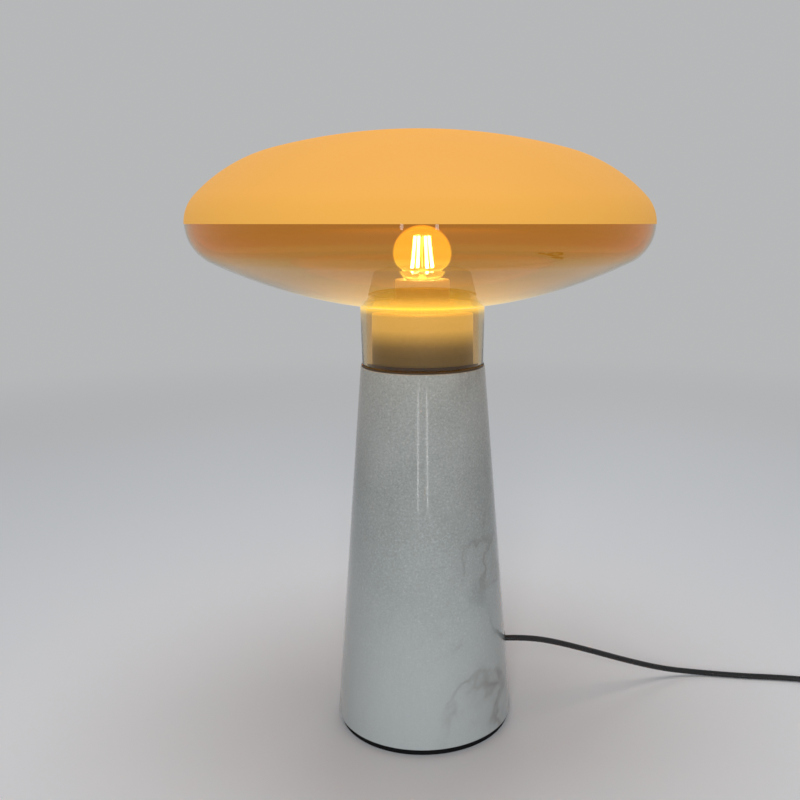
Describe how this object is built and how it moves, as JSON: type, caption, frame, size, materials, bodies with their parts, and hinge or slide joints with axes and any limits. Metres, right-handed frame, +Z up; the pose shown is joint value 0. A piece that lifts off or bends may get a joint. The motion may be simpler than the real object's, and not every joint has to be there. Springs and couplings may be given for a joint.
{
  "type": "mushroom table lamp",
  "caption": "Table lamp with a tapered marble column and a wide flattened glass shade that stands on it by a straight neck over a globe bulb.",
  "frame": {"origin": "on the floor under the middle of the foot", "axes": "+Z up along the column, +X towards the side where the cord leaves the column, -Y towards the picture's viewer"},
  "size_m": [0.6362, 0.381, 0.486],
  "materials": {
    "marble": "polished white marble with grey veins",
    "black_rubber": "matt black rubber",
    "steel_plate": "zinc-plated steel",
    "zinc_steel": "zinc-plated steel",
    "rod_steel": "zinc-plated threaded tube",
    "anchor_brass": "plain brass",
    "seat_brown": "dark brown silicone",
    "amber_glass": "blown glass with a frosted amber coat",
    "smoke_glass": "clear blown glass with a faint smoke-brown tint",
    "champagne_metal": "satin champagne metal",
    "holder_white": "cream moulded plastic",
    "ceramic_white": "white steatite",
    "shell_brass": "stamped brass",
    "bulb_glass": "clear glass",
    "cap_metal": "nickel-plated screw cap",
    "black_glass": "black vitrite",
    "solder": "solder",
    "filament_glow": "glowing LED filament",
    "support_wire": "nickel wire",
    "cord_black": "black PVC",
    "wire_insulation": "brown and blue insulation",
    "bushing_grey": "black nylon",
    "tie_black": "black strap",
    "switch_black": "black moulded plastic",
    "rocker_black": "black moulded plastic",
    "contact_brass": "stamped brass",
    "plug_black": "black moulded plastic",
    "pin_metal": "plain brass"
  },
  "bodies": {
    "lamp": {"marble_column": "marble", "base_pad": "black_rubber", "foot_plate": "steel_plate", "foot_screws": "zinc_steel", "rod_washers": "zinc_steel", "rod_nuts": "zinc_steel", "terminal_screws": "zinc_steel", "switch_screws": "zinc_steel", "threaded_rod": "rod_steel", "screw_anchors": "anchor_brass", "neck_seat_ring": "seat_brown", "inner_sleeve": "champagne_metal", "holder_shell": "holder_white", "holder_base": "holder_white", "holder_ring": "holder_white", "terminal_block": "ceramic_white", "screw_shell": "shell_brass", "contact_tongue": "shell_brass", "inner_lead": "cord_black", "power_cord": "cord_black", "switch_tail": "cord_black", "cord_coil": "cord_black", "terminal_wires": "wire_insulation", "cord_bushing": "bushing_grey", "cord_stop": "bushing_grey", "cord_tie": "tie_black", "switch_base": "switch_black", "switch_cover": "switch_black", "switch_contacts": "contact_brass", "plug_body": "plug_black", "plug_pins": "pin_metal"},
    "shade": {"glass_shade_upper": "amber_glass", "glass_shade_rim": "smoke_glass", "glass_shade_lower": "smoke_glass", "glass_neck": "smoke_glass"},
    "bulb": {"bulb_globe": "bulb_glass", "bulb_cap": "cap_metal", "bulb_insulator": "black_glass", "bulb_tip": "solder", "bulb_stem": "bulb_glass", "bulb_filaments": "filament_glow", "filament_supports": "support_wire"},
    "rocker": {"switch_rocker": "rocker_black"}
  },
  "joints": [
    {"name": "shade_lift", "type": "slide", "parent": "lamp", "child": "shade", "axis": [0, 0, 1], "range_m": [0, 0.115]},
    {"name": "bulb_removal", "type": "slide", "parent": "lamp", "child": "bulb", "axis": [0, 0, 1], "range_m": [0, 0.038]},
    {"name": "rocker_tilt", "type": "hinge", "parent": "lamp", "child": "rocker", "pos_m": [0.373, -0.037, 0.011], "axis": [1, 0, 0], "range_deg": [-18, 0]}
  ]
}
